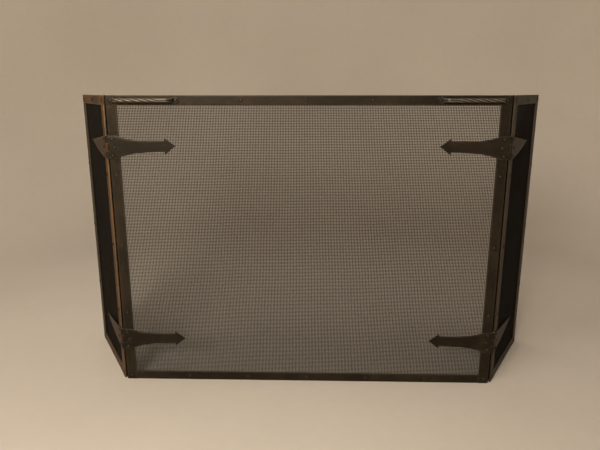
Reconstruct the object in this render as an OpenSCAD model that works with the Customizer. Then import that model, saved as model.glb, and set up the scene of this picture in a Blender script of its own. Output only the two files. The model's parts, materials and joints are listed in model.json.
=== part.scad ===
// Three-panel folding fireplace screen: flat iron bar frames riveted over wire
// cloth, two wings on strap hinges, and two twisted-bar handles.
// X runs along the centre panel, Y runs from front to back, Z is up.

/* [Panels] */
// Width of the centre panel, edge to edge
panel_w = 914; // [720:1:1200]
// Height of all three panels
panel_h = 706; // [560:1:900]
// Width of each wing, edge to edge
wing_w = 279; // [220:1:400]
// Angle that each wing is swung back from flat as the screen stands
wing_angle = 59; // [20:1:60]

/* [Frame bars] */
// Width of the upright front bars (stiles)
stile_w = 25; // [21:0.5:34]
// Height of the level front bars (rails)
rail_h = 22; // [20:0.5:32]
// Thickness of the front bars
front_t = 4; // [3:0.1:6]
// Width of the flat strips that clamp the wire cloth from behind
strip_w = 19; // [17:0.5:20.5]
// Thickness of those strips
strip_t = 2.4; // [2:0.1:4]

/* [Wire cloth] */
// Diameter of the wire; the woven cloth is two wires thick
wire_d = 1.2; // [0.5:0.05:1.3]
// Distance from a panel's edge to the edge of its cloth
cloth_inset = 3; // [1:0.5:5]

/* [Rivets] */
// Diameter of the rivet shanks
rivet_d = 4; // [3:0.1:5]
// Diameter of the domed rivet heads
head_d = 8; // [7:0.1:9]
// Height of the domed rivet heads
head_h = 2.2; // [1.2:0.1:3]
// Spacing aimed at along rails and stiles; each row is divided evenly
rivet_step = 160; // [120:1:240]

/* [Hinge straps] */
// Distance from the floor to the lower hinges' centre line
lower_hinge = 111; // [80:1:160]
// Distance from the panels' top down to the upper hinges' centre line
upper_hinge = 117; // [80:1:160]
// Thickness of the straps, which is also the wall of their rolled knuckles
strap_t = 2.4; // [1.8:0.1:3.2]
// Height of a strap at the hinge, and of its stack of knuckles
strap_base_h = 54; // [50:1:70]
// Length of a centre strap from the panel's edge to its arrow point
strap_len = 155; // [140:1:200]
// Length of the full-height base, after which the strap narrows all the way to its arrowhead
strap_base_len = 18; // [18:0.5:40]
// Height of the neck where the arrowhead starts
neck_h = 26; // [16:1:34]
// How quickly the strap narrows after its base
strap_flare = 3.5; // [1:0.5:6]
// How much higher the arrow point is than the hinge's centre line
strap_rise = 3; // [0:0.5:8]
// Length of the arrowhead
arrow_len = 26; // [20:1:36]
// Height of the arrowhead across its barbs
arrow_h = 40; // [32:1:52]

/* [Wing leaves] */
// Height of a wing leaf at the hinge
leaf_base_h = 52; // [48:1:60]
// Length of a wing leaf from the wing's edge to its point
leaf_len = 170; // [130:1:200]
// How late the leaf's lower side turns in towards its point; the upper side is straight
leaf_fullness = 1.7; // [1.4:0.1:3.5]
// How much higher the leaf's point is than the hinge's centre line
leaf_rise = 6; // [0:0.5:10]

/* [Strap rivets] */
// Distance from the panel's edge to the outer two rivets of a strap
strap_rivet_inset = 9.5; // [7:0.5:11]
// How much further in the middle rivet sits
strap_rivet_stagger = 4.5; // [0:0.5:5]
// Distance from the middle rivet to the outer two, up and down
strap_rivet_spread = 19; // [14:0.5:20]

/* [Hinge pins] */
// Diameter of the hinge pins
pin_d = 3; // [2.4:0.1:4]
// Diameter of the peened ends of the pins
pin_head_d = 5; // [4.6:0.1:6]
// Height of the peened ends
pin_head_h = 1.4; // [0.8:0.1:2]

/* [Handles] */
// Distance between the two rivets of a handle
handle_span = 148; // [130:1:180]
// Width of the square handle bar
handle_bar = 8; // [6:0.5:10]
// Distance from the rail's face to the middle of the bar
handle_standoff = 20; // [17:0.5:30]
// Distance along the rail from a rivet to the start of the straight bar
handle_leg = 16; // [14:0.5:20]
// Length of the twisted stretch, which starts at the outer leg
twist_len = 93; // [60:1:95]
// Quarter turns in the twisted stretch
twist_quarters = 5; // [3:1:8]
// Width of the flattened feet
foot_w = 16; // [13:0.5:18]
// Thickness of the flattened feet
foot_t = 3; // [2:0.1:4]

/* [Fits] */
// Gap all round a rivet shank in its hole
rivet_gap = 0.1; // [0.05:0.01:0.2]
// Gap all round a rivet shank where it parts the wire cloth
cloth_hole_gap = 0.5; // [0.3:0.1:1]
// Gap all round a hinge pin in its knuckles
pin_gap = 0.06; // [0.03:0.01:0.1]
// Gap between one knuckle and the next
knuckle_gap = 0.3; // [0.2:0.05:0.6]
// Gap between a knuckle and the edges of the panels
knuckle_side_gap = 0.34; // [0.3:0.02:0.6]

/* [Hidden] */
$fn = 48;
slack = 1;                                   // how far a cutter passes through its work
cloth_t = 2 * wire_d;
frame_t = front_t + cloth_t + strip_t;
pin_bore_r = pin_d / 2 + pin_gap;
knuckle_r = pin_bore_r + strap_t;
knuckle_h = (strap_base_h - 2 * knuckle_gap) / 3;
pin_y = knuckle_r - strap_t;                 // the knuckle's front is flush with the strap
hinge_gap = 2 * (knuckle_r + knuckle_side_gap);
hinge_heights = [lower_hinge, panel_h - upper_hinge];
handle_z = panel_h - rail_h / 2;
handle_outer_x = panel_w / 2 - stile_w / 2;
handle_inner_x = handle_outer_x - handle_span;
wing_reach = hinge_gap / 2 + wing_w;
front_y = -handle_standoff - handle_bar / sqrt(2);
back_y = pin_y + wing_reach * sin(wing_angle) + (frame_t - pin_y) * cos(wing_angle);
middle_y = (front_y + back_y) / 2;           // the origin sits under the middle of the screen
twist_slices = 8;                            // per quarter turn

iron = "#3d342b";
worn_iron = "#5c4630";
cloth_grey = "#5a5348";

// ---- where the rivets go; a point is [x, z] from a panel's lower hinge-side corner

// Evenly spaced places from one end to the other
function row(from, to) =
    let (count = max(1, round((to - from) / rivet_step)))
    [for (i = [0 : count]) from + (to - from) * i / count];

// A row without its two ends
function inner(list) = [for (i = [1 : len(list) - 2]) list[i]];

function rail_row(w) = row(stile_w / 2, w - stile_w / 2);

// Stile rivets, leaving out any that a hinge strap would cover
function stile_row() =
    let (cover = (strap_base_h + head_d) / 2)
    [for (z = inner(row(rail_h / 2, panel_h - rail_h / 2)))
        if (min([for (h = hinge_heights) abs(z - h)]) > cover) z];

function bottom_points(w) = [for (x = rail_row(w)) [x, rail_h / 2]];
function side_points(w) =
    [for (x = [stile_w / 2, w - stile_w / 2], z = stile_row()) [x, z]];

// The handles' rivets take the place of the top rail's at each end
function center_top_points() =
    let (keep = handle_inner_x - foot_w / 2 - head_d / 2)
    [for (x = rail_row(panel_w)) if (abs(x - panel_w / 2) < keep) [x, handle_z]];
function center_points() =
    concat(center_top_points(), bottom_points(panel_w), side_points(panel_w));
function handle_points() =
    [for (side = [-1, 1], x = [handle_inner_x, handle_outer_x]) [panel_w / 2 + side * x, handle_z]];

function wing_points() =
    concat([for (x = rail_row(wing_w)) [x, handle_z]], bottom_points(wing_w), side_points(wing_w));

// Rivets of one strap or leaf, with the hinge's centre line at z = 0
strap_points = [
    [strap_rivet_inset, -strap_rivet_spread],
    [strap_rivet_inset + strap_rivet_stagger, 0],
    [strap_rivet_inset, strap_rivet_spread]
];
function hinge_points() = [for (h = hinge_heights, p = strap_points) [p[0], h + p[1]]];
function flipped(points, w) = [for (p = points) [w - p[0], p[1]]];
function center_hinge_points() = concat(hinge_points(), flipped(hinge_points(), panel_w));

function all_center_points() = concat(center_points(), handle_points(), center_hinge_points());
function all_wing_points() = concat(wing_points(), hinge_points());

// The points that lie over a bar with its corner at [x, z] and its size [w, h]
function over(points, corner, size) =
    [for (p = points)
        if (p[0] > corner[0] && p[0] < corner[0] + size[0]
            && p[1] > corner[1] && p[1] < corner[1] + size[1]) p];

// ---- shapes shared by the three panels

// Round holes along Y
module drill(points, gap)
    for (p = points) translate([p[0], -slack, p[1]]) rotate([-90, 0, 0])
        cylinder(r = rivet_d / 2 + gap, h = frame_t + 2 * slack);

// A drilled flat bar: corner [x, z], size [w, h], from depth y, thickness t
module bar(corner, size, y, t, points, gap = rivet_gap) {
    difference() {
        translate([corner[0], y, corner[1]]) cube([size[0], t, size[1]]);
        drill(over(points, corner, size), gap);
    }
}

// A domed rivet head that stands up from z = 0
module dome(d, h) {
    ball_r = (d * d / 4 + h * h) / (2 * h);
    intersection() {
        translate([0, 0, h - ball_r]) sphere(r = ball_r);
        cylinder(d = d, h = h + slack);
    }
}

// A rivet through the frame and whatever lies on its front, rise thick
module rivet(rise = 0) {
    rotate([-90, 0, 0]) translate([0, 0, -rise]) cylinder(d = rivet_d, h = rise + frame_t);
    translate([0, -rise, 0]) rotate([90, 0, 0]) dome(head_d, head_h);
    translate([0, frame_t, 0]) rotate([-90, 0, 0]) dome(head_d, head_h);
}

module rivets(points, rise = 0) for (p = points) translate([p[0], 0, p[1]]) rivet(rise);

// Front bars: the top rail crosses both stiles, and the bottom rail runs between them
module top_rail(w, points) bar([0, panel_h - rail_h], [w, rail_h], 0, front_t, points);
module bottom_rail(w, points) bar([stile_w, 0], [w - 2 * stile_w, rail_h], 0, front_t, points);
module stile(x, points) bar([x, 0], [stile_w, panel_h - rail_h], 0, front_t, points);

// Back strips lap the other way: the bottom strip crosses, and the top one runs between
strip_y = front_t + cloth_t;
module back_bottom_strip(w, points) bar([0, 0], [w, strip_w], strip_y, strip_t, points);
module back_top_strip(w, points)
    bar([strip_w, panel_h - strip_w], [w - 2 * strip_w, strip_w], strip_y, strip_t, points);
module back_side_strip(x, points)
    bar([x, strip_w], [strip_w, panel_h - strip_w], strip_y, strip_t, points);

module cloth(w, points)
    bar([cloth_inset, cloth_inset], [w - 2 * cloth_inset, panel_h - 2 * cloth_inset],
        front_t, cloth_t, points, cloth_hole_gap);

// ---- hinge straps and leaves; the panel's edge is x = 0 and the plate runs to +X

// Closes an upper outline with its mirror image below
function closed(upper) =
    concat(upper, [for (i = [len(upper) - 1 : -1 : 0]) if (upper[i][1] > 0) [upper[i][0], -upper[i][1]]]);

flare_steps = 14;
arrow_x = strap_len - arrow_len;
function strap_upper() = concat(
    [[0, strap_base_h / 2]],
    [for (i = [0 : flare_steps]) let (t = i / flare_steps)
        [strap_base_len + (arrow_x - strap_base_len) * t,
            neck_h / 2 + (strap_base_h - neck_h) / 2 * pow(1 - t, strap_flare)]],
    [[arrow_x, arrow_h / 2], [strap_len, 0]]);

leaf_steps = 20;
leaf_outline = concat(
    [[0, leaf_base_h / 2], [leaf_len, 0]],
    [for (i = [leaf_steps - 1 : -1 : 0]) let (t = i / leaf_steps)
        [leaf_len * t, -leaf_base_h / 2 * (1 - pow(t, leaf_fullness))]]);

// Lifts an outline evenly along its length, to the given rise at its point
function lifted(outline, length, rise) = [for (p = outline) [p[0], p[1] + rise * p[0] / length]];

// One half of a hinge: its plate, and a rolled knuckle at each place in the list
module hinge_half(outline, places) {
    difference() {
        union() {
            rotate([90, 0, 0]) linear_extrude(strap_t) polygon(outline);
            for (k = places) translate([0, 0, k * (knuckle_h + knuckle_gap) - knuckle_h / 2]) {
                translate([-hinge_gap / 2, -strap_t, 0]) cube([hinge_gap / 2, strap_t, knuckle_h]);
                translate([-hinge_gap / 2, pin_y, 0]) cylinder(r = knuckle_r, h = knuckle_h);
            }
        }
        translate([-hinge_gap / 2, pin_y, -strap_base_h])
            cylinder(r = pin_bore_r, h = 2 * strap_base_h);
        for (p = strap_points) translate([p[0], slack, p[1]]) rotate([90, 0, 0])
            cylinder(r = rivet_d / 2 + rivet_gap, h = strap_t + 2 * slack);
    }
}

module strap() hinge_half(lifted(closed(strap_upper()), strap_len, strap_rise), [-1, 1]);
module leaf() hinge_half(lifted(leaf_outline, leaf_len, leaf_rise), [0]);

// A pin through the stack of knuckles, peened over at both ends
module pin() {
    translate([-hinge_gap / 2, pin_y, -strap_base_h / 2]) {
        cylinder(d = pin_d, h = strap_base_h);
        translate([0, 0, strap_base_h]) dome(pin_head_d, pin_head_h);
        mirror([0, 0, 1]) dome(pin_head_d, pin_head_h);
    }
}

// ---- handle: the outer rivet is at the origin and the inner one at x = handle_span

bar_start = handle_leg;
bar_end = handle_span - handle_leg;
leg_foot = foot_w / 2;                       // how far the flat foot runs in from its rivet
leg_root = 4;                                // length of foot that the leg grows out of
leg_top = 6;                                 // length of bar that the leg runs into

// A block that lies along X, centred on z = 0, between two depths
module block(x, length, near, depth, h)
    translate([x, near, -h / 2]) cube([length, depth, h]);

// One foot with its leg, at the outer end
module foot() {
    rotate([90, 0, 0]) cylinder(d = foot_w, h = foot_t);
    block(0, leg_foot, -foot_t, foot_t, foot_w);
    hull() {
        block(leg_foot - leg_root, leg_root, -foot_t, foot_t, foot_w - 2);
        block(bar_start - leg_top / 2, leg_top, -handle_standoff - handle_bar / 2, handle_bar, handle_bar);
    }
}

module handle() {
    difference() {
        union() {
            foot();
            translate([handle_span, 0, 0]) mirror([1, 0, 0]) foot();
            translate([bar_start, -handle_standoff, 0]) rotate([90, 0, 90])
                linear_extrude(twist_len, twist = -90 * twist_quarters,
                    slices = twist_slices * twist_quarters, $fn = 4) square(handle_bar, center = true);
            block(bar_start + twist_len - 1, bar_end - bar_start - twist_len + 1,
                -handle_standoff - handle_bar / 2, handle_bar, handle_bar);
        }
        for (x = [0, handle_span]) translate([x, slack, 0]) rotate([90, 0, 0])
            cylinder(r = rivet_d / 2 + rivet_gap, h = foot_t + 2 * slack);
    }
}

// ---- placing: each panel is drawn flat from its own lower corner, then put where it stands

module center() translate([-panel_w / 2, -middle_y, 0]) children();
module center_right() mirror([1, 0, 0]) center() children();
module right_wing()
    translate([panel_w / 2 + hinge_gap / 2, pin_y - middle_y, 0]) rotate([0, 0, wing_angle])
        translate([hinge_gap / 2, -pin_y, 0]) children();
module left_wing() mirror([1, 0, 0]) right_wing() children();
module upper() translate([0, 0, hinge_heights[1]]) children();
module lower() translate([0, 0, hinge_heights[0]]) children();

// ---- centre panel

module center_top_rail() color(iron) center() top_rail(panel_w, all_center_points());
module center_bottom_rail() color(iron) center() bottom_rail(panel_w, all_center_points());
module center_left_stile() color(iron) center() stile(0, all_center_points());
module center_right_stile() color(iron) center() stile(panel_w - stile_w, all_center_points());
module center_back_top_strip() color(iron) center() back_top_strip(panel_w, all_center_points());
module center_back_bottom_strip()
    color(iron) center() back_bottom_strip(panel_w, all_center_points());
module center_back_left_strip() color(iron) center() back_side_strip(0, all_center_points());
module center_back_right_strip()
    color(iron) center() back_side_strip(panel_w - strip_w, all_center_points());
module center_mesh() color(cloth_grey) center() cloth(panel_w, all_center_points());
module center_rivets() color(iron) center() rivets(center_points());

module left_handle()
    color(iron) translate([-handle_outer_x, -middle_y, handle_z]) handle();
// Turned end for end, so that both twists keep the same hand
module right_handle()
    color(iron) translate([handle_outer_x, -middle_y, handle_z]) rotate([0, 180, 0]) handle();
module handle_rivets() color(iron) center() rivets(handle_points(), foot_t);

module upper_left_strap() color(iron) center() upper() strap();
module lower_left_strap() color(iron) center() lower() strap();
module upper_right_strap() color(iron) center_right() upper() strap();
module lower_right_strap() color(iron) center_right() lower() strap();
module strap_rivets() color(iron) center() rivets(center_hinge_points(), strap_t);

module upper_left_pin() color(iron) center() upper() pin();
module lower_left_pin() color(iron) center() lower() pin();
module upper_right_pin() color(iron) center_right() upper() pin();
module lower_right_pin() color(iron) center_right() lower() pin();

// ---- wings; every piece is drawn once and placed on both sides

module wing_top_rail() color(worn_iron) top_rail(wing_w, all_wing_points());
module wing_bottom_rail() color(worn_iron) bottom_rail(wing_w, all_wing_points());
module wing_hinge_stile() color(iron) stile(0, all_wing_points());
module wing_outer_stile() color(iron) stile(wing_w - stile_w, all_wing_points());
module wing_back_top_strip() color(iron) back_top_strip(wing_w, all_wing_points());
module wing_back_bottom_strip() color(iron) back_bottom_strip(wing_w, all_wing_points());
module wing_back_hinge_strip() color(iron) back_side_strip(0, all_wing_points());
module wing_back_outer_strip() color(iron) back_side_strip(wing_w - strip_w, all_wing_points());
module wing_mesh() color(cloth_grey) cloth(wing_w, all_wing_points());
module wing_rivets() color(iron) rivets(wing_points());
module wing_leaf_rivets() color(iron) rivets(hinge_points(), strap_t);
module wing_leaf() color(worn_iron) leaf();

module left_wing_top_rail() left_wing() wing_top_rail();
module left_wing_bottom_rail() left_wing() wing_bottom_rail();
module left_wing_hinge_stile() left_wing() wing_hinge_stile();
module left_wing_outer_stile() left_wing() wing_outer_stile();
module left_wing_back_top_strip() left_wing() wing_back_top_strip();
module left_wing_back_bottom_strip() left_wing() wing_back_bottom_strip();
module left_wing_back_hinge_strip() left_wing() wing_back_hinge_strip();
module left_wing_back_outer_strip() left_wing() wing_back_outer_strip();
module left_wing_mesh() left_wing() wing_mesh();
module left_wing_rivets() left_wing() wing_rivets();
module upper_left_leaf() left_wing() upper() wing_leaf();
module lower_left_leaf() left_wing() lower() wing_leaf();
module left_leaf_rivets() left_wing() wing_leaf_rivets();

module right_wing_top_rail() right_wing() wing_top_rail();
module right_wing_bottom_rail() right_wing() wing_bottom_rail();
module right_wing_hinge_stile() right_wing() wing_hinge_stile();
module right_wing_outer_stile() right_wing() wing_outer_stile();
module right_wing_back_top_strip() right_wing() wing_back_top_strip();
module right_wing_back_bottom_strip() right_wing() wing_back_bottom_strip();
module right_wing_back_hinge_strip() right_wing() wing_back_hinge_strip();
module right_wing_back_outer_strip() right_wing() wing_back_outer_strip();
module right_wing_mesh() right_wing() wing_mesh();
module right_wing_rivets() right_wing() wing_rivets();
module upper_right_leaf() right_wing() upper() wing_leaf();
module lower_right_leaf() right_wing() lower() wing_leaf();
module right_leaf_rivets() right_wing() wing_leaf_rivets();

center_top_rail();
center_bottom_rail();
center_left_stile();
center_right_stile();
center_back_top_strip();
center_back_bottom_strip();
center_back_left_strip();
center_back_right_strip();
center_mesh();
center_rivets();
left_handle();
right_handle();
handle_rivets();
upper_left_strap();
lower_left_strap();
upper_right_strap();
lower_right_strap();
strap_rivets();
upper_left_pin();
lower_left_pin();
upper_right_pin();
lower_right_pin();
left_wing_top_rail();
left_wing_bottom_rail();
left_wing_hinge_stile();
left_wing_outer_stile();
left_wing_back_top_strip();
left_wing_back_bottom_strip();
left_wing_back_hinge_strip();
left_wing_back_outer_strip();
left_wing_mesh();
left_wing_rivets();
upper_left_leaf();
lower_left_leaf();
left_leaf_rivets();
right_wing_top_rail();
right_wing_bottom_rail();
right_wing_hinge_stile();
right_wing_outer_stile();
right_wing_back_top_strip();
right_wing_back_bottom_strip();
right_wing_back_hinge_strip();
right_wing_back_outer_strip();
right_wing_mesh();
right_wing_rivets();
upper_right_leaf();
lower_right_leaf();
right_leaf_rivets();
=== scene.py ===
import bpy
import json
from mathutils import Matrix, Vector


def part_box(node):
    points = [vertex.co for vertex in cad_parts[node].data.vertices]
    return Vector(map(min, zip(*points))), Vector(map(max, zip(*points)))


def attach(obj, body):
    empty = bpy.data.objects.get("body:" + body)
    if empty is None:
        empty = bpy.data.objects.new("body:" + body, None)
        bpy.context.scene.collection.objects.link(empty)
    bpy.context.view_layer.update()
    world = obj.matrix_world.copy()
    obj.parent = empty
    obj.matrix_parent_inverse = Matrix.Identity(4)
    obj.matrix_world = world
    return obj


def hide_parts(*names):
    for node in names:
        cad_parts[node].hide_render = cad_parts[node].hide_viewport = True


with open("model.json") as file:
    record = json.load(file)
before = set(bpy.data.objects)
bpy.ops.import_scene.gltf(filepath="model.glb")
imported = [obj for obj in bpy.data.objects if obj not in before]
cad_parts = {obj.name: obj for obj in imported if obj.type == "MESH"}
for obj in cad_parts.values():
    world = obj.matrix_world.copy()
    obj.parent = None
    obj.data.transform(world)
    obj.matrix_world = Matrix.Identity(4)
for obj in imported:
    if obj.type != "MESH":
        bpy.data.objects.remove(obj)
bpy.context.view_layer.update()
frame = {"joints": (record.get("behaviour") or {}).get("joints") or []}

import json
import math

import bpy
import numpy as np

mm = 0.001
scene = bpy.context.scene

# Sizes read off the frame; a panel's own axes are x from its edge, y back from its front face, z up.
topLow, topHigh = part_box("center_top_rail")
stileLow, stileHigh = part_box("center_left_stile")
clothLow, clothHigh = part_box("center_mesh")
stripLow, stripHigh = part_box("center_back_bottom_strip")
wingLow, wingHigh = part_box("right_wing_top_rail")
pivot = next(j for j in frame["joints"] if j["name"] == "right_wing_hinge")["pos_m"]

screen = {
    "wingAngle": math.radians(59),                   # how far the wings are swung back
    "width": topHigh.x - topLow.x,
    "height": topHigh.z,
    "frontY": topLow.y,                              # the front face of the centre panel
    "stileWidth": stileHigh.x - stileLow.x,
    "railHeight": topHigh.z - topLow.z,
    "barThick": topHigh.y - topLow.y,
    "clothThick": clothHigh.y - clothLow.y,
    "clothInset": clothLow.x - topLow.x,
    "stripWidth": stripHigh.z - stripLow.z,
    "stripThick": stripHigh.y - stripLow.y,
    "pivotOut": pivot[0] - topHigh.x,                # from a panel's edge to the hinge pin
    "pivotBack": pivot[1] - topLow.y,                # from a front face to the hinge pin
}
screen["frameThick"] = screen["barThick"] + screen["clothThick"] + screen["stripThick"]
screen["wingWidth"] = ((wingHigh.x - wingLow.x - screen["barThick"] * math.sin(screen["wingAngle"]))
                       / math.cos(screen["wingAngle"]))
print("frame read: panels", round(screen["width"], 3), "and", round(screen["wingWidth"], 3), "wide")


# ---------- camera and light first

camera = {
    "eye": (0.0175, -1.262, 0.714),                  # from the foot of the centre panel's front face
    "down": math.radians(13.66),
    "left": math.radians(1.51),
    "lens": 32.95,
}


def makeCamera():
    data = bpy.data.cameras.new("camera")
    data.lens, data.sensor_width = camera["lens"], 36
    eye = bpy.data.objects.new("camera", data)
    eye.location = (camera["eye"][0], camera["eye"][1] + screen["frontY"], camera["eye"][2])
    eye.rotation_euler = (math.pi / 2 - camera["down"], 0, camera["left"])
    scene.collection.objects.link(eye)
    scene.camera = eye


studio = {
    "key": {"at": (-0.7, -2.2, 1.15), "size": 0.75, "power": 78, "colour": (1.0, 0.9, 0.78)},
    "top": {"at": (-0.5, -1.2, 2.3), "size": 1.2, "power": 20, "colour": (1.0, 0.91, 0.8)},
    "back": {"at": (-1.2, 1.7, 2.4), "size": 1.4, "power": 10, "colour": (1.0, 0.93, 0.84)},
    "sky": (0.92, 0.85, 0.76),
    "skyPower": 0.12,
}


def makeLights():
    for name in ("key", "top", "back"):
        spec = studio[name]
        data = bpy.data.lights.new(name, "AREA")
        data.size, data.energy, data.color = spec["size"], spec["power"], spec["colour"]
        lamp = bpy.data.objects.new(name, data)
        lamp.location = spec["at"]
        aim = np.array([0, 0, 0.35]) - np.array(spec["at"])
        lamp.rotation_euler = (math.acos(-aim[2] / np.linalg.norm(aim)), 0,
                               math.atan2(aim[1], aim[0]) - math.pi / 2)
        scene.collection.objects.link(lamp)
    world = bpy.data.worlds.new("studio")
    world.use_nodes = True
    sky = world.node_tree.nodes["Background"]
    sky.inputs["Color"].default_value = (*studio["sky"], 1)
    sky.inputs["Strength"].default_value = studio["skyPower"]
    scene.world = world
    scene.view_settings.view_transform = "Standard"


# ---------- shader maths

class Term:                                          # a socket that can be added, multiplied and so on
    def __init__(self, paint, socket):
        self.paint, self.socket = paint, socket

    def math(self, operation, a, b=0.0, clamp=False):
        return self.paint.node("ShaderNodeMath", {"operation": operation, "use_clamp": clamp},
                               {0: a, 1: b})["Value"]

    def __add__(self, other):
        return self.math("ADD", self, other)

    def __sub__(self, other):
        return self.math("SUBTRACT", self, other)

    def __rsub__(self, other):
        return self.math("SUBTRACT", other, self)

    def __mul__(self, other):
        return self.math("MULTIPLY", self, other)

    def __truediv__(self, other):
        return self.math("DIVIDE", self, other)

    __radd__, __rmul__ = __add__, __mul__

    def clipped(self):
        return self.math("ADD", self, 0.0, clamp=True)

    def stretched(self, low, high):                  # low becomes 0 and high becomes 1
        return ((self - low) / (high - low)).clipped()


class Paint:                                         # one material and its nodes
    def __init__(self, name):
        self.material = bpy.data.materials.new(name)
        self.material.use_nodes = True
        self.tree = self.material.node_tree
        self.shader = self.tree.nodes["Principled BSDF"]

    def put(self, socket, value):
        if isinstance(value, Term):
            self.tree.links.new(value.socket, socket)
        elif value is not None:
            socket.default_value = value

    def node(self, kind, settings=None, inputs=None):
        made = self.tree.nodes.new(kind)
        for key, value in (settings or {}).items():
            setattr(made, key, value)
        for key, value in (inputs or {}).items():
            self.put(made.inputs[key], value)
        return {s.name: Term(self, s) for s in made.outputs if s.enabled}

    def places(self):
        return self.node("ShaderNodeTexCoord")["Object"]

    def noise(self, scale, detail=4.0, rough=0.55, at=None, warp=0.0):
        return self.node("ShaderNodeTexNoise", {}, {
            "Vector": at or self.places(), "Scale": scale, "Detail": detail,
            "Roughness": rough, "Distortion": warp})["Fac"]

    def blend(self, share, low, high):               # a colour from low at 0 to high at 1
        low, high = ((*c, 1) if isinstance(c, tuple) else c for c in (low, high))
        mix = self.tree.nodes.new("ShaderNodeMix")
        mix.data_type = "RGBA"
        self.put(mix.inputs["Factor"], share)
        self.put(mix.inputs[6], low)                 # the two colour sockets and the colour result
        self.put(mix.inputs[7], high)
        return Term(self, mix.outputs[2])

    def bump(self, height, depth, strength=1.0, under=None):
        return self.node("ShaderNodeBump", {}, {
            "Height": height, "Distance": depth, "Strength": strength, "Normal": under})["Normal"]

    def finish(self, **sockets):
        for name, value in sockets.items():
            self.put(self.shader.inputs[name.replace("_", " ")], value)
        return self.material


def ironPaint(name, dark, brown, bright, rustShare=0.5, wearAndHighlightShare=0.6, gloss=0.5, metal=0.45,
              sheen=0.12, paintedSideLight=False):
    # hand-forged iron: mill-black metal, brown patina in clouds, edges rubbed to a duller bright metal, which
    # on the handles is also a painted highlight;
    # a side-lit iron keeps its rust and rubbed metal to the left and high up, and goes to dark metal to the
    # right and low down: painted light from the upper left, painted shade on the right and low down
    p = Paint(name)
    at = p.places()
    clouds = p.noise(9, 5, 0.62, at, 0.6)
    flecks = p.noise(170, 3, 0.6, at)
    pits = p.node("ShaderNodeTexVoronoi", {"feature": "F1"}, {"Vector": at, "Scale": 420.0})["Distance"]
    wear = p.node("ShaderNodeAttribute", {"attribute_name": "wear"})["Fac"]
    clouded = clouds.stretched(0.62 - 0.28 * rustShare, 0.74) * 0.75
    rustAndPaintedLight = (clouded + flecks.stretched(0.45, 0.72) * 0.35).clipped()
    rubbedAndPaintedLight = (wear * (0.35 + flecks * 1.1) * wearAndHighlightShare).clipped()
    # painted light and shade: rust and rubbed metal are strongest to the left and high up, where the lamp
    # falls, and fade to dark metal to the right and low down
    if paintedSideLight:
        along = p.node("ShaderNodeSeparateXYZ", {}, {"Vector": at})
        paintedLight = along["X"].stretched(0.3, -0.45) * (0.4 + along["Z"].stretched(0.1, 0.68) * 0.6)
        rustAndPaintedLight, rubbedAndPaintedLight = rustAndPaintedLight * (0.12 + paintedLight * 0.88), rubbedAndPaintedLight * (0.2 + paintedLight * 0.8)
    colour = p.blend(rubbedAndPaintedLight, p.blend(rustAndPaintedLight, dark, brown), bright)
    rough = (1 - gloss) * 0.75 + rustAndPaintedLight * 0.22 + flecks * 0.14 - rubbedAndPaintedLight * 0.16
    forged = p.noise(55, 3, 0.5, at)
    skin = p.bump(forged, 0.7 * mm, 0.55)
    skin = p.bump(pits.stretched(0.0, 0.45) * 0.5 + flecks * 0.8, 0.25 * mm, 0.5, skin)
    p.put(p.shader.inputs["Specular IOR Level"], sheen)
    return p.finish(Base_Color=colour, Roughness=rough.clipped(), Metallic=metal, Normal=skin)


def clothPaint():
    # blackened steel wire with a little ash and brown in clouds
    p = Paint("wireCloth")
    at = p.places()
    ash = p.noise(5, 4, 0.6, at).stretched(0.42, 0.7)
    flecks = p.noise(260, 2, 0.5, at)
    colour = p.blend(ash * 0.6 + flecks * 0.25, (0.006, 0.0048, 0.0036), (0.018, 0.0135, 0.009))
    p.put(p.shader.inputs["Specular IOR Level"], 0.12)
    return p.finish(Base_Color=colour, Roughness=0.5 + ash * 0.2, Metallic=0.4,
                    Normal=p.bump(flecks, 0.06 * mm, 0.4))


def pinPaint():
    p = Paint("pinSteel")
    at = p.places()
    flecks = p.noise(300, 3, 0.6, at)
    return p.finish(Base_Color=p.blend(flecks.stretched(0.4, 0.7), (0.13, 0.115, 0.1), (0.2, 0.15, 0.1)),
                    Roughness=0.35 + flecks * 0.25, Metallic=0.8, Normal=p.bump(flecks, 0.1 * mm, 0.4))


def backdropPaint():
    # pale cloth backdrop with faint uneven clouds
    p = Paint("backdrop")
    at = p.places()
    clouds = p.noise(1.1, 3, 0.5, at)
    grain = p.noise(38, 2, 0.5, at)
    share = (clouds * 0.8 + grain * 0.2).stretched(0.3, 0.7)
    colour = p.blend(share, (0.55, 0.49, 0.415), (0.62, 0.56, 0.48))
    return p.finish(Base_Color=colour, Roughness=0.9, Normal=p.bump(grain, 1 * mm, 0.15))


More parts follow.
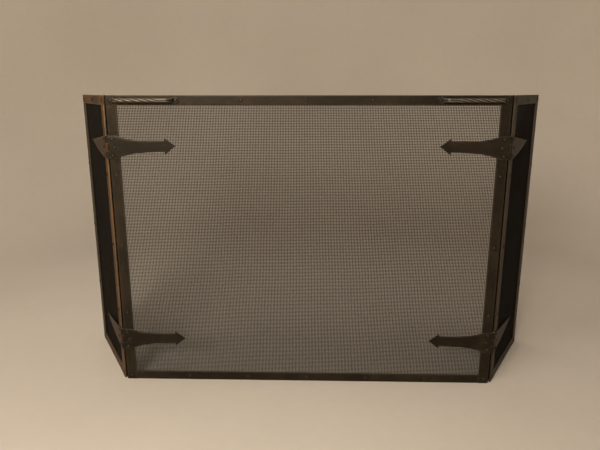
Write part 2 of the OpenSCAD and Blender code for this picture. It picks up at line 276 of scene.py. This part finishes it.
def makePaints():
    return {
        "frame_iron": ironPaint("frameIron", (0.0145, 0.0115, 0.0075), (0.038, 0.026, 0.014),
                                (0.085, 0.068, 0.048)),
        "strap_iron": ironPaint("strapIron", (0.0125, 0.01, 0.0065), (0.034, 0.0225, 0.0125),
                                (0.08, 0.062, 0.042)),
        # wing rails, hinge stiles and leaves: brown rust with painted light from the upper left and painted
        # shade to the right and low down
        "worn_iron": ironPaint("wornIron", (0.014, 0.011, 0.0075), (0.2, 0.095, 0.032), (0.26, 0.17, 0.09),
                               rustShare=1.0, gloss=0.45, paintedSideLight=True),
        "leaf_iron": ironPaint("leafIron", (0.013, 0.0105, 0.007), (0.16, 0.066, 0.019), (0.22, 0.14, 0.07),
                               rustShare=1.0, gloss=0.45, paintedSideLight=True),
        # the handles' bright ridges: rubbed metal and a painted highlight along the twist
        "handle_iron": ironPaint("handleIron", (0.009, 0.0072, 0.005), (0.022, 0.0155, 0.0095),
                                 (0.24, 0.2, 0.15),
                                 rustShare=0.4, wearAndHighlightShare=1.0, gloss=0.46, metal=0.6, sheen=0.15),
        "rivet_iron": ironPaint("rivetIron", (0.013, 0.0105, 0.008), (0.03, 0.021, 0.014), (0.12, 0.1, 0.08),
                                wearAndHighlightShare=0.35, gloss=0.55, metal=0.6),
        "wire_cloth": clothPaint(),
        "pin_steel": pinPaint(),
    }


# ---------- from panel axes to the frame

def onCenter(points):                                # from the panel's lower left corner
    return points + np.array([-screen["width"] / 2, screen["frontY"], 0])


def onCenterTurned(points):                          # mirrored, from the lower right corner
    return onCenter(points) * np.array([-1, 1, 1])


def onRightWing(points):                             # from the wing's lower hinge-side corner
    c, s = math.cos(screen["wingAngle"]), math.sin(screen["wingAngle"])
    x = points[..., 0] + screen["pivotOut"]
    y = points[..., 1] - screen["pivotBack"]
    return np.stack([pivot[0] + c * x - s * y, pivot[1] + s * x + c * y, points[..., 2]], -1)


def onLeftWing(points):
    return onRightWing(points) * np.array([-1, 1, 1])


# ---------- solids: each is a grid of rings, closed at both ends, with a value for each point of wear, which on the handles is also a painted highlight

def tubeFaces(rings, around):
    # quads between neighbouring rings, and each end filled by quads that join opposite points of its ring
    i = np.arange(rings - 1)[:, None] * around
    j = np.arange(around)[None, :]
    k = (j + 1) % around
    walls = np.stack([i + j, i + k, i + around + k, i + around + j], -1).reshape(-1, 4)
    e = np.arange(around // 2 - 1)
    cap = np.stack([e, around - 1 - e, around - 2 - e, e + 1], -1)
    return np.concatenate([walls, cap, (cap + (rings - 1) * around)[:, ::-1]])


def outward(points, faces):
    # a closed grid whose signed volume is negative is inside out, so its faces are turned round
    flat = points.reshape(-1, 3)
    flat = flat - flat.mean(0)
    a, b, c, d = (flat[faces[:, n]] for n in range(4))
    volume = (a * (np.cross(b, c) + np.cross(c, d))).sum()
    return faces if volume > 0 else faces[:, ::-1]


def makePiece(name, solids, slotName, body, replaced, sharpAngle=38):
    vertices, faces, wears, start = [], [], [], 0
    for points, wear in solids:
        rings, around = points.shape[:2]
        faces.append(outward(points, tubeFaces(rings, around)) + start)
        vertices.append(points.reshape(-1, 3))
        wears.append(np.broadcast_to(wear, (rings, around)).ravel())
        start += rings * around
    return meshPiece(name, np.concatenate(vertices), np.concatenate(faces), np.concatenate(wears),
                     slotName, body, replaced, sharpAngle)


def meshPiece(name, vertices, faces, wear, slotName, body, replaced, sharpAngle=None):
    mesh = bpy.data.meshes.new(name)
    mesh.vertices.add(len(vertices))
    mesh.vertices.foreach_set("co", vertices.astype(np.float32).ravel())
    mesh.loops.add(faces.size)
    mesh.loops.foreach_set("vertex_index", faces.astype(np.int32).ravel())
    mesh.polygons.add(len(faces))
    mesh.polygons.foreach_set("loop_start", np.arange(0, faces.size, 4, dtype=np.int32))
    mesh.update(calc_edges=True)
    mesh.polygons.foreach_set("use_smooth", np.ones(len(faces), bool))
    if wear is not None:
        mesh.attributes.new("wear", "FLOAT", "POINT").data.foreach_set("value", wear.astype(np.float32))
    if sharpAngle:
        mesh.set_sharp_from_angle(angle=math.radians(sharpAngle))
    piece = bpy.data.objects.new(name, mesh)
    piece.data.materials.append(paints[slotName])
    scene.collection.objects.link(piece)
    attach(piece, body)
    if replaced:
        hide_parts(*replaced)
        checkFit(piece, replaced)
    return piece


fitNotes = []


def checkFit(piece, nodes):                          # how far a piece's box is from its CAD nodes' box
    co = np.array([v.co for v in piece.data.vertices]) if len(piece.data.vertices) < 60000 else None
    if co is None:
        return
    low = np.min([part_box(n)[0] for n in nodes], 0)
    high = np.max([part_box(n)[1] for n in nodes], 0)
    fitNotes.append((max(np.abs(co.min(0) - low).max(), np.abs(co.max(0) - high).max()), piece.name))


def seeded(name):                                    # every piece has its own, repeatable, random draws
    return np.random.default_rng(sum(ord(c) * (i + 3) for i, c in enumerate(name)))


def hammerMarks(rng, along, across, size, depth):
    # shallow round dents that overlap: at each point, the deepest of 1 - (distance / radius) squared
    count = int(2.4 * np.ptp(along) * np.ptp(across) / size ** 2) + 1
    centreA = rng.uniform(along.min(), along.max(), count)
    centreB = rng.uniform(across.min(), across.max(), count)
    radius = rng.uniform(0.7, 1.3, count) * size
    strength = rng.uniform(0.35, 1.0, count)
    d2 = (along[..., None] - centreA) ** 2 + (across[..., None] - centreB) ** 2
    return depth * (np.clip(1 - d2 / radius ** 2, 0, 1) * strength).max(-1)


def wander(rng, t, step):                            # smooth random line in -1 to 1, turning every step or so
    waves = rng.uniform(0.35, 1.0, 5) / step
    return np.sin(t[..., None] * waves * 2 * math.pi + rng.uniform(0, 7, 5)).mean(-1)


section = {"front": 10, "back": 2, "edge": 0.9 * mm}


def slabSection():
    # points round a flat bar's section, as columns: share of the flat half width, share of the edge
    # radius across, share of the radius in depth, share of the thickness
    half = math.sqrt(0.5)
    front = [(s, 0, 0, 0) for s in np.linspace(-1, 1, section["front"])]
    right = [(1, half, 1 - half, 0), (1, 1, 1, 0), (1, 1, -0.5, 1), (1, 0.5, 0, 1)]
    back = [(s, 0, 0, 1) for s in np.linspace(0.4, -0.4, section["back"])]
    left = [(-a, -b, c, d) for a, b, c, d in right[::-1]]
    return np.array(front + right + back + left)


def slab(rng, spine, across, inward, halfWidth, thick, marks=(8 * mm, 0.3 * mm), waver=0.25 * mm, edge=None):
    # a flat bar: a rounded rectangle carried along spine, which lies on its face; across points along
    # its width and inward points into the metal; hammer dents sink the face, and the edges waver inward
    table = slabSection()
    spine, halfWidth, thick = (np.asarray(a, float) for a in (spine, halfWidth, thick))
    rings = len(spine)
    halfWidth = np.broadcast_to(halfWidth, rings)[:, None]
    thick = np.broadcast_to(thick, rings)[:, None]
    edge = np.minimum(np.minimum(edge or section["edge"], halfWidth * 0.6), thick * 0.3)
    steps = np.r_[0, np.linalg.norm(np.diff(spine, axis=0), axis=1).cumsum()][:, None]
    flat, cornerA, cornerD, backShare = table.T
    a = flat * (halfWidth - edge) + cornerA * edge
    loose = waver * (0.5 + 0.5 * np.where(a > 0, wander(rng, steps, 45 * mm), wander(rng, steps, 60 * mm)))
    a = a * (1 - loose / halfWidth)
    dents = hammerMarks(rng, steps + 0 * a, a + 0 * steps, *marks)
    d = cornerD * edge + backShare * thick + dents * (1 - backShare) * (thick > 3 * marks[1])
    across = np.broadcast_to(across, (rings, 3))[:, None]
    inward = np.broadcast_to(inward, (rings, 3))[:, None]
    points = spine[:, None] + a[..., None] * across + d[..., None] * inward
    corner = np.clip(np.abs(cornerA), 0, 1) * (1 - backShare) + 0.35 * (np.abs(flat) == 1) * (1 - backShare)
    ridge = 1 - dents / marks[1]
    return points, np.clip(corner + 0.25 * ridge ** 3 * (backShare == 0), 0, 1)


def span(start, end, step):                          # evenly spaced values from start to end
    return np.linspace(start, end, max(2, int(abs(end - start) / step) + 1))


def eased(low, high, t):                             # 0 below low, 1 above high, smooth between
    t = np.clip((t - low) / (high - low), 0, 1)
    return t * t * (3 - 2 * t)


# ---------- the frame's bars: front bars with hammered faces, back strips with their backs hammered

bars = {
    "step": 3 * mm,                                  # between rings along a bar
    "stripStep": 4.5 * mm,
    "marks": (9 * mm, 0.32 * mm),                    # radius and depth of the hammer's dents
    "stripMarks": (11 * mm, 0.2 * mm),
}


def flatBar(name, x0, x1, z0, z1, y, thick, place, body, slotName, fromBack=False):
    rng = seeded(name)
    step = bars["stripStep"] if fromBack else bars["step"]
    level = x1 - x0 > z1 - z0
    run = span(x0, x1, step) if level else span(z0, z1, step)
    middle = np.full(len(run), (z0 + z1) / 2 if level else (x0 + x1) / 2)
    depth = np.full(len(run), y + thick if fromBack else y)
    spine = np.stack([run, depth, middle] if level else [middle, depth, run], -1)
    points, wear = slab(rng, spine, (0, 0, 1) if level else (1, 0, 0), (0, -1 if fromBack else 1, 0),
                        (z1 - z0 if level else x1 - x0) / 2, thick,
                        bars["stripMarks"] if fromBack else bars["marks"])
    makePiece(name + "_forged", [(place(points), wear)], slotName, body, [name])


def framePanel(prefix, width, place, body, hingeSide, outerSide, railSlot):
    stile, rail, strip = screen["stileWidth"], screen["railHeight"], screen["stripWidth"]
    high, back = screen["height"], screen["barThick"] + screen["clothThick"]
    front, thin = screen["barThick"], screen["stripThick"]
    flatBar(prefix + "_top_rail", 0, width, high - rail, high, 0, front, place, body, railSlot)
    flatBar(prefix + "_bottom_rail", stile, width - stile, 0, rail, 0, front, place, body, railSlot)
    flatBar(f"{prefix}_{hingeSide}_stile", 0, stile, 0, high - rail, 0, front, place, body, railSlot)
    flatBar(f"{prefix}_{outerSide}_stile", width - stile, width, 0, high - rail, 0, front, place, body,
            "frame_iron")
    flatBar(prefix + "_back_top_strip", strip, width - strip, high - strip, high, back, thin, place, body,
            "frame_iron", True)
    flatBar(prefix + "_back_bottom_strip", 0, width, 0, strip, back, thin, place, body, "frame_iron", True)
    flatBar(f"{prefix}_back_{hingeSide}_strip", 0, strip, strip, high, back, thin, place, body,
            "frame_iron", True)
    flatBar(f"{prefix}_back_{outerSide}_strip", width - strip, width, strip, high, back, thin, place, body,
            "frame_iron", True)


# ---------- woven wire cloth

cloth = {
    "pitch": 3.63 * mm,                              # seven wires to the inch
    "wire": screen["clothThick"] / 2,
    "spread": 1.04 * screen["clothThick"] / 2,       # its width in the cloth, a little flattened by the loom
    "drift": 0.5 * mm,                               # how far the weave wanders in its own plane
    "bow": 1.2 * mm,                                 # how far it stands out of flat
}


def weave(rng, width, height, y, upright):
    # wires of one direction: each is a four-sided tube whose middle goes over and under the wires it
    # crosses by half a wire; the whole sheet is then shifted by slow waves so that it isn't machine-flat
    inset, pitch = screen["clothInset"], cloth["pitch"]
    xs = np.arange(inset + pitch / 2, width - inset, pitch)
    zs = np.arange(inset + pitch / 2, height - inset, pitch)
    wires, crossings = (xs, zs) if upright else (zs, xs)
    ends = (inset, (height if upright else width) - inset)
    stations = np.r_[ends[0], crossings, ends[1]]
    i, j = np.meshgrid(np.arange(len(wires)), np.arange(len(stations)), indexing="ij")
    over = np.where((i + j) % 2 == 0, 1.0, -1.0) * (1 if upright else -1) * cloth["wire"] / 2
    x = np.broadcast_to(wires[:, None] if upright else stations[None, :], over.shape)
    z = np.broadcast_to(stations[None, :] if upright else wires[:, None], over.shape)
    calm = np.minimum(np.minimum(x - inset, width - inset - x), np.minimum(z - inset, height - inset - z))
    calm = eased(14 * mm, 90 * mm, calm)
    shiftX = cloth["drift"] * calm * (wander(rng, z, 170 * mm) + wander(rng, x, 300 * mm))
    shiftZ = cloth["drift"] * calm * (wander(rng, x, 150 * mm) + wander(rng, z, 260 * mm))
    bow = cloth["bow"] * calm * (wander(rng, x, 330 * mm) + wander(rng, z, 280 * mm))
    middle = np.stack([x + shiftX, y + over + bow, z + shiftZ], -1)
    side = np.array([1, 0, 0]) if upright else np.array([0, 0, 1])
    out = np.array([0, 1, 0])
    wide, deep = side * cloth["spread"] / 2, out * cloth["wire"] / 2
    ring = np.stack([wide, deep, -wide, -deep])
    return middle[:, :, None] + ring


def wireFaces(wires, stations):
    tube = tubeFaces(stations, 4)
    starts = np.arange(wires)[:, None, None] * stations * 4
    return (tube[None] + starts).reshape(-1, 4)


def wirePieces(prefix, width, place, body, parts):
    rng = seeded(prefix + "cloth")
    state = rng.bit_generator.state
    y = screen["barThick"] + screen["clothThick"] / 2
    for upright, word in ((True, "upright"), (False, "level")):
        rng.bit_generator.state = state              # both directions share the sheet's waves
        for part, points in enumerate(np.array_split(weave(rng, width, screen["height"], y, upright), parts)):
            wires, stations = points.shape[:2]
            placed = place(points)
            faces = outward(placed[:1], tubeFaces(stations, 4))
            turned = not np.array_equal(faces, tubeFaces(stations, 4))
            faces = wireFaces(wires, stations)
            meshPiece(f"{prefix}_{word}_wires_{part + 1}", placed.reshape(-1, 3),
                      faces[:, ::-1] if turned else faces, None, "wire_cloth", body,
                      [prefix + "_mesh"] if upright and part == 0 else None)


# ---------- rivets

rivets = {"head": 4.0 * mm, "rise": 2.2 * mm, "shank": 2.0 * mm, "around": 18, "rings": 7}


def rivetSolids(rng, places, lift):
    # a rivet turned about Y: a dome of radius r and height rise * (1 - r squared) ** 0.55, its neck and
    # its far dome; each dome is pulled oval and struck flat by a few tilted planes
    r, n = rivets["head"], rivets["rings"]
    u = np.linspace(0.12, 1, n)
    around = np.arange(rivets["around"]) / rivets["around"] * 2 * math.pi
    solids = []
    for x, z in places:
        heads = []
        for _ in range(2):
            oval = 1 - 0.05 * (1 + np.sin(2 * around + rng.uniform(0, 7)))
            tall = rivets["rise"] * rng.uniform(0.82, 1.0)
            height = tall * (1 - u[:, None] ** 2) ** 0.55 + 0 * around
            radius = r * u[:, None] * oval
            for _ in range(3):
                tilt, turn = rng.uniform(0.05, 0.3), rng.uniform(0, 7)
                level = rng.uniform(0.86, 0.98)
                height = np.minimum(height, tall * (level - tilt * u[:, None] * np.cos(around - turn)))
            height = np.maximum(height, 0)
            height[-1] = 0
            heads.append((radius, height))
        (frontR, frontH), (backR, backH) = heads
        shank = np.full((1, len(around)), rivets["shank"])
        radii = np.concatenate([frontR, shank, shank, backR[::-1]])
        zero = np.zeros((1, len(around)))
        depth = np.concatenate([-lift - frontH, zero - lift, zero + screen["frameThick"],
                                screen["frameThick"] + backH[::-1]])
        points = np.stack([x + radii * np.cos(around), depth, z + radii * np.sin(around)], -1)
        wear = np.concatenate([np.clip(1.1 - u, 0, 1)[:, None] + zero, zero, zero,
                               np.clip(1.1 - u[::-1], 0, 1)[:, None] + zero])
        solids.append((points, wear))
    return solids


def evenRow(start, end, step=160 * mm):
    return np.linspace(start, end, max(1, round((end - start) / step)) + 1)


def panelRivets(width):                              # bottom rail, then the stiles, then the top rail
    stile, rail = screen["stileWidth"] / 2, screen["railHeight"] / 2
    rail0, rail1 = rail, screen["height"] - rail
    xs = evenRow(stile, width - stile)
    zs = evenRow(rail0, rail1)[1:-1]
    low = [(x, rail0) for x in xs]
    sides = [(x, z) for x in (stile, width - stile) for z in zs]
    return low + sides, [(x, rail1) for x in xs]


strapRivet = {"inset": 9.5 * mm, "stagger": 4.5 * mm, "spread": 19 * mm}
hingeHeights = [sum(c.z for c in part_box(f"{level}_left_pin")) / 2 for level in ("lower", "upper")]


def strapRivets():
    s = strapRivet
    return [(s["inset"] + (s["stagger"] if k == 0 else 0), h + k * s["spread"])
            for h in hingeHeights for k in (-1, 0, 1)]


def placedRivets(seedName, places, lift, place):
    return [(place(points), wear) for points, wear in rivetSolids(seeded(seedName), places, lift)]


def makeRivets():
    low, top = panelRivets(screen["width"])
    outerX = screen["stileWidth"] / 2
    innerX = outerX + handle["span"]                 # a handle's two rivets, from the panel's edge
    clear = innerX + handle["rivetClear"]
    kept = [p for p in top if clear < p[0] < screen["width"] - clear]
    makePiece("center_rivets_peened", placedRivets("center", low + kept, 0, onCenter), "rivet_iron",
              "center_panel", ["center_rivets"], 50)
    ends = [(x, screen["height"] - screen["railHeight"] / 2)
            for x in (outerX, innerX, screen["width"] - innerX, screen["width"] - outerX)]
    makePiece("handle_rivets_peened", placedRivets("handles", ends, handle["footThick"], onCenter),
              "rivet_iron", "center_panel", ["handle_rivets"], 50)
    both = placedRivets("strapsLeft", strapRivets(), strap["thick"], onCenter)
    both += placedRivets("strapsRight", strapRivets(), strap["thick"], onCenterTurned)
    makePiece("strap_rivets_peened", both, "rivet_iron", "center_panel", ["strap_rivets"], 50)
    for side, place in (("left", onLeftWing), ("right", onRightWing)):
        low, top = panelRivets(screen["wingWidth"])
        makePiece(f"{side}_wing_rivets_peened", placedRivets(side, low + top, 0, place), "rivet_iron",
                  f"{side}_wing", [f"{side}_wing_rivets"], 50)
        makePiece(f"{side}_leaf_rivets_peened",
                  placedRivets(side + "leaf", strapRivets(), strap["thick"], place), "rivet_iron",
                  f"{side}_wing", [f"{side}_leaf_rivets"], 50)


# ---------- hinge straps, wing leaves and their rolled knuckles

strap = {
    "thick": 2.4 * mm,
    "base": 27 * mm,                                 # half heights, and lengths along the strap
    "baseLength": 18 * mm,
    "neck": 13 * mm,
    "barb": 20 * mm,
    "arrowStart": 129 * mm,
    "tip": 155 * mm,
    "flare": 3.5,                                    # how quickly it narrows after its base
    "rise": 3 * mm,                                  # how much the centre line climbs to the tip
    "knuckleHeight": 17.8 * mm,
    "knuckleGap": 0.3 * mm,
    "marks": (6.5 * mm, 0.28 * mm),
}
leaf = {"base": 26 * mm, "length": 170 * mm, "fullness": 1.7, "rise": 6 * mm}


def strapOutline():
    # half height along the strap: a square base, a taper that falls off as (1 - t) ** flare to the neck,
    # and an arrowhead; with it, the height of the centre line
    s = strap
    x = np.r_[span(0, s["baseLength"], 2.5 * mm), span(s["baseLength"], s["arrowStart"], 2.5 * mm)[1:],
              span(s["arrowStart"] + 0.4 * mm, s["tip"] - 0.4 * mm, 2 * mm), s["tip"]]
    t = np.clip((x - s["baseLength"]) / (s["arrowStart"] - s["baseLength"]), 0, 1)
    half = s["neck"] + (s["base"] - s["neck"]) * (1 - t) ** s["flare"]
    head = s["barb"] * (s["tip"] - x) / (s["tip"] - s["arrowStart"])
    return x, np.where(x > s["arrowStart"], np.maximum(head, 0.35 * mm), half), s["rise"] * x / s["tip"]


def leafOutline():
    # the upper side is straight, base * (1 - t), and the lower is base * (1 - t ** fullness) below the
    # hinge's centre line; the whole is sheared to rise to its point
    t = np.r_[np.linspace(0, 0.985, 72), 1.0]
    upper, lower = leaf["base"] * (1 - t), leaf["base"] * (t ** leaf["fullness"] - 1)
    half, climb = (upper - lower) / 2, (upper + lower) / 2 + leaf["rise"] * t
    return leaf["length"] * t, np.maximum(half, 0.35 * mm), climb


def knuckle(rng, centreZ):
    # the strap's end rolled round the pin: a straight lead-in, then three quarters of a turn and more
    radius = screen["pivotBack"] + strap["thick"]    # from the pin's axis to the knuckle's outside
    turn = np.linspace(-math.pi / 2, -math.pi / 2 - math.radians(318), 44)
    lead = span(1.5 * mm, -screen["pivotOut"], 1.2 * mm)[:-1]
    x = np.r_[lead, -screen["pivotOut"] + radius * np.cos(turn)]
    y = np.r_[np.full(len(lead), -strap["thick"]), screen["pivotBack"] + radius * np.sin(turn)]
    inwardX = np.r_[0 * lead, -np.cos(turn)]
    inwardY = np.r_[0 * lead + 1, -np.sin(turn)]
    spine = np.stack([x, y, np.full(len(x), centreZ)], -1)
    inward = np.stack([inwardX, inwardY, 0 * inwardX], -1)
    return slab(rng, spine, (0, 0, 1), inward, strap["knuckleHeight"] / 2, strap["thick"],
                (5 * mm, 0.08 * mm), 0.02 * mm, 0.5 * mm)


def hingeHalf(name, outline, knuckles, height, place, slotName, body):
    rng = seeded(name)
    x, half, climb = outline()
    spine = np.stack([x, np.full(len(x), -strap["thick"]), height + climb], -1)
    thin = strap["thick"] * (1 - 0.28 * eased(0.45 * x[-1], x[-1], x))
    sunk = np.stack([0 * x, strap["thick"] - thin, 0 * x], -1)
    plate = slab(rng, spine + sunk, (0, 0, 1), (0, 1, 0), half, thin, strap["marks"], 0.3 * mm, 0.8 * mm)
    rolled = [knuckle(rng, height + k * (strap["knuckleHeight"] + strap["knuckleGap"])) for k in knuckles]
    makePiece(name + "_forged", [(place(p), w) for p, w in [plate] + rolled], slotName, body, [name])


pin = {"radius": 1.5 * mm, "head": 2.5 * mm, "rise": 1.4 * mm, "length": 54 * mm, "around": 20}


def makePin(name, height, place):
    # a rod turned about Z: a low dome at each end, struck a little oval
    rng = seeded(name)
    around = np.arange(pin["around"]) / pin["around"] * 2 * math.pi
    u = np.linspace(0.12, 1, 6)
    oval = 1 - 0.06 * (1 + np.sin(2 * around + rng.uniform(0, 7)))
    dome = pin["head"] * u[:, None] * oval
    rise = pin["rise"] * np.sqrt(1 - u[:, None] ** 2) * rng.uniform(0.85, 1) + 0 * around
    rod = np.full((2, len(around)), pin["radius"])
    radii = np.concatenate([dome, rod, dome[::-1]])
    end = pin["length"] / 2
    z = np.concatenate([end + rise, [0 * around + end], [0 * around - end], -end - rise[::-1]])
    points = np.stack([-screen["pivotOut"] + radii * np.cos(around),
                       screen["pivotBack"] + radii * np.sin(around), height + z], -1)
    makePiece(name + "_turned", [(place(points), np.full(radii.shape, 0.4))], "pin_steel", "center_panel",
              [name], 50)


def makeHinges():
    sides = (("left", onCenter, onLeftWing), ("right", onCenterTurned, onRightWing))
    for side, onPanel, onWing in sides:
        for level, height in zip(("lower", "upper"), hingeHeights):
            hingeHalf(f"{level}_{side}_strap", strapOutline, (-1, 1), height, onPanel, "strap_iron",
                      "center_panel")
            hingeHalf(f"{level}_{side}_leaf", leafOutline, (0,), height, onWing, "leaf_iron", f"{side}_wing")
            makePin(f"{level}_{side}_pin", height, onPanel)


# ---------- handles

handle = {
    "span": 148 * mm,                                # between its two rivets
    "bar": 4 * mm,                                   # half the square bar's width
    "standoff": 20 * mm,
    "leg": 16 * mm,
    "twistLength": 93 * mm,
    "quarters": 5,
    "foot": 8 * mm,                                  # half the foot's width
    "footThick": 3 * mm,
    "footFlat": 6 * mm,                              # from a rivet to where the foot bends up
    "rivetClear": 12 * mm,                           # kept free of rail rivets past a foot
    "around": 28,
    "squareness": 5.5,
}


def handleSolid(rng):
    # a rounded square carried from foot to foot, with its corners turned evenly along the twisted
    # stretch; the path's bends are a polyline smoothed over a few millimetres
    h = handle
    flat, out = h["footThick"] / 2, h["standoff"]
    reach = h["foot"]
    corners = np.array([(-reach, flat), (h["footFlat"], flat), (h["leg"] - 1 * mm, out),
                        (h["span"] - h["leg"] + 1 * mm, out), (h["span"] - h["footFlat"], flat),
                        (h["span"] + reach, flat)])
    lengths = np.r_[0, np.linalg.norm(np.diff(corners, axis=0), axis=1).cumsum()]
    fine = span(0, lengths[-1], 0.25 * mm)
    window = 25                                      # samples that a bend is smoothed over
    path = []
    for axis in range(2):
        line = np.interp(fine, lengths, corners[:, axis])
        lead = line[0] + (line[1] - line[0]) * np.arange(-window, 0)
        tail = line[-1] + (line[-1] - line[-2]) * np.arange(1, window + 1)
        soft = np.convolve(np.r_[lead, line, tail], np.ones(window) / window, "same")
        path.append(soft[window:-window][::4])
    x, y = path
    s = fine[::4]
    tangent = np.stack([np.gradient(x), -np.gradient(y)], -1)
    tangent /= np.linalg.norm(tangent, axis=1)[:, None]
    normal = np.stack([tangent[:, 1], -tangent[:, 0]], -1)
    toBar = eased(reach + 3 * mm, reach + 16 * mm, s) * eased(reach + 3 * mm, reach + 16 * mm, s[-1] - s)
    fromEnd = np.minimum(s, s[-1] - s)
    roundEnd = np.sqrt(np.clip(1 - (1 - np.clip(fromEnd / reach, 0.01, 1)) ** 2, 0, 1))
    wide = (h["foot"] + (h["bar"] - h["foot"]) * toBar) * roundEnd
    thin = h["footThick"] / 2 + (h["bar"] - h["footThick"] / 2) * toBar
    start = lengths[2] + 1 * mm
    turned = np.clip((s - start) / h["twistLength"], 0, 1) * h["quarters"] * math.pi / 2
    past = s > start + h["twistLength"] / 2          # odd quarter turns swap width and thickness
    across, through = np.where(past, thin, wide), np.where(past, wide, thin)
    angle = np.arange(h["around"]) / h["around"] * 2 * math.pi + math.pi / h["around"]
    n = h["squareness"]
    squircle = (np.abs(np.cos(angle)) ** n + np.abs(np.sin(angle)) ** n) ** (-1 / n)
    a = across[:, None] * squircle * np.cos(angle)
    b = through[:, None] * squircle * np.sin(angle)
    c, d = np.cos(turned)[:, None], np.sin(turned)[:, None]
    up, outer = a * c - b * d, a * d + b * c
    dents = hammerMarks(rng, s[:, None] + 0 * a, angle * 6 * mm + 0 * a, 7 * mm, 0.2 * mm)
    shrink = 1 - dents / h["bar"]
    up, outer = up * shrink, outer * np.where(toBar[:, None] > 0.5, shrink, 1)
    points = np.stack([x[:, None] + normal[:, None, 0] * outer,
                       -y[:, None] + normal[:, None, 1] * outer, up], -1)
    # the corners along the twisted bar are set bright, as wear and as a painted highlight on its ridges; the
    # feet are kept dark
    ridge = np.clip((squircle - 1.0) / (squircle.max() - 1.0), 0, 1) ** 1.6
    return points, np.clip((0.15 + 0.85 * ridge) * (0.12 + 0.88 * toBar[:, None]), 0, 1)


def makeHandles():
    middle = screen["height"] - screen["railHeight"] / 2
    for side, turn in (("left", 1), ("right", -1)):
        points, wear = handleSolid(seeded(side + "handle"))
        points = points * np.array([turn, 1, turn])  # the right one is turned end for end
        corner = -turn * (screen["width"] - screen["stileWidth"]) / 2
        points = points + np.array([corner, screen["frontY"], middle])
        makePiece(f"{side}_handle_twisted", [(points, wear)], "handle_iron", "center_panel",
                  [f"{side}_handle"], 60)


# ---------- the stage

stage = {"flat": 1.45, "turn": 0.9, "wall": 2.0, "around": 96}


def makeStage():
    # a bowl: a round floor, a quarter circle up from it, and an upright wall
    t = np.linspace(0, math.pi / 2, 14)
    level = np.r_[0.02, span(0.3, stage["flat"], 0.4)]
    r = np.r_[level, stage["flat"] + stage["turn"] * np.sin(t[1:]), stage["flat"] + stage["turn"]]
    z = np.r_[0 * level, stage["turn"] * (1 - np.cos(t[1:])), stage["wall"]]
    a = np.arange(stage["around"]) / stage["around"] * 2 * math.pi
    points = np.stack([r[:, None] * np.cos(a), r[:, None] * np.sin(a), z[:, None] + 0 * a], -1)
    faces = tubeFaces(len(r), stage["around"])[:-(stage["around"] // 2 - 1)]
    mesh = bpy.data.meshes.new("studioFloor")
    mesh.from_pydata(points.reshape(-1, 3).tolist(), [], faces[:, ::-1].tolist())
    mesh.polygons.foreach_set("use_smooth", np.ones(len(mesh.polygons), bool))
    floor = bpy.data.objects.new("studioFloor", mesh)
    floor.data.materials.append(backdropPaint())
    scene.collection.objects.link(floor)


makeCamera()
makeLights()
paints = makePaints()
print("materials made:", len(paints))
framePanel("center", screen["width"], onCenter, "center_panel", "left", "right", "frame_iron")
# the wings' rails and hinge stiles take the rusty iron with painted side light and shade
framePanel("left_wing", screen["wingWidth"], onLeftWing, "left_wing", "hinge", "outer", "worn_iron")
framePanel("right_wing", screen["wingWidth"], onRightWing, "right_wing", "hinge", "outer", "worn_iron")
print("bars forged")
makeHinges()
makeHandles()
makeRivets()
print("hinges, handles and rivets made")
wirePieces("center", screen["width"], onCenter, "center_panel", 2)
wirePieces("left_wing", screen["wingWidth"], onLeftWing, "left_wing", 1)
wirePieces("right_wing", screen["wingWidth"], onRightWing, "right_wing", 1)
print("wire cloth woven")
makeStage()
for gap, name in sorted(fitNotes)[-6:]:
    print("fit", name, round(gap * 1000, 2), "mm")
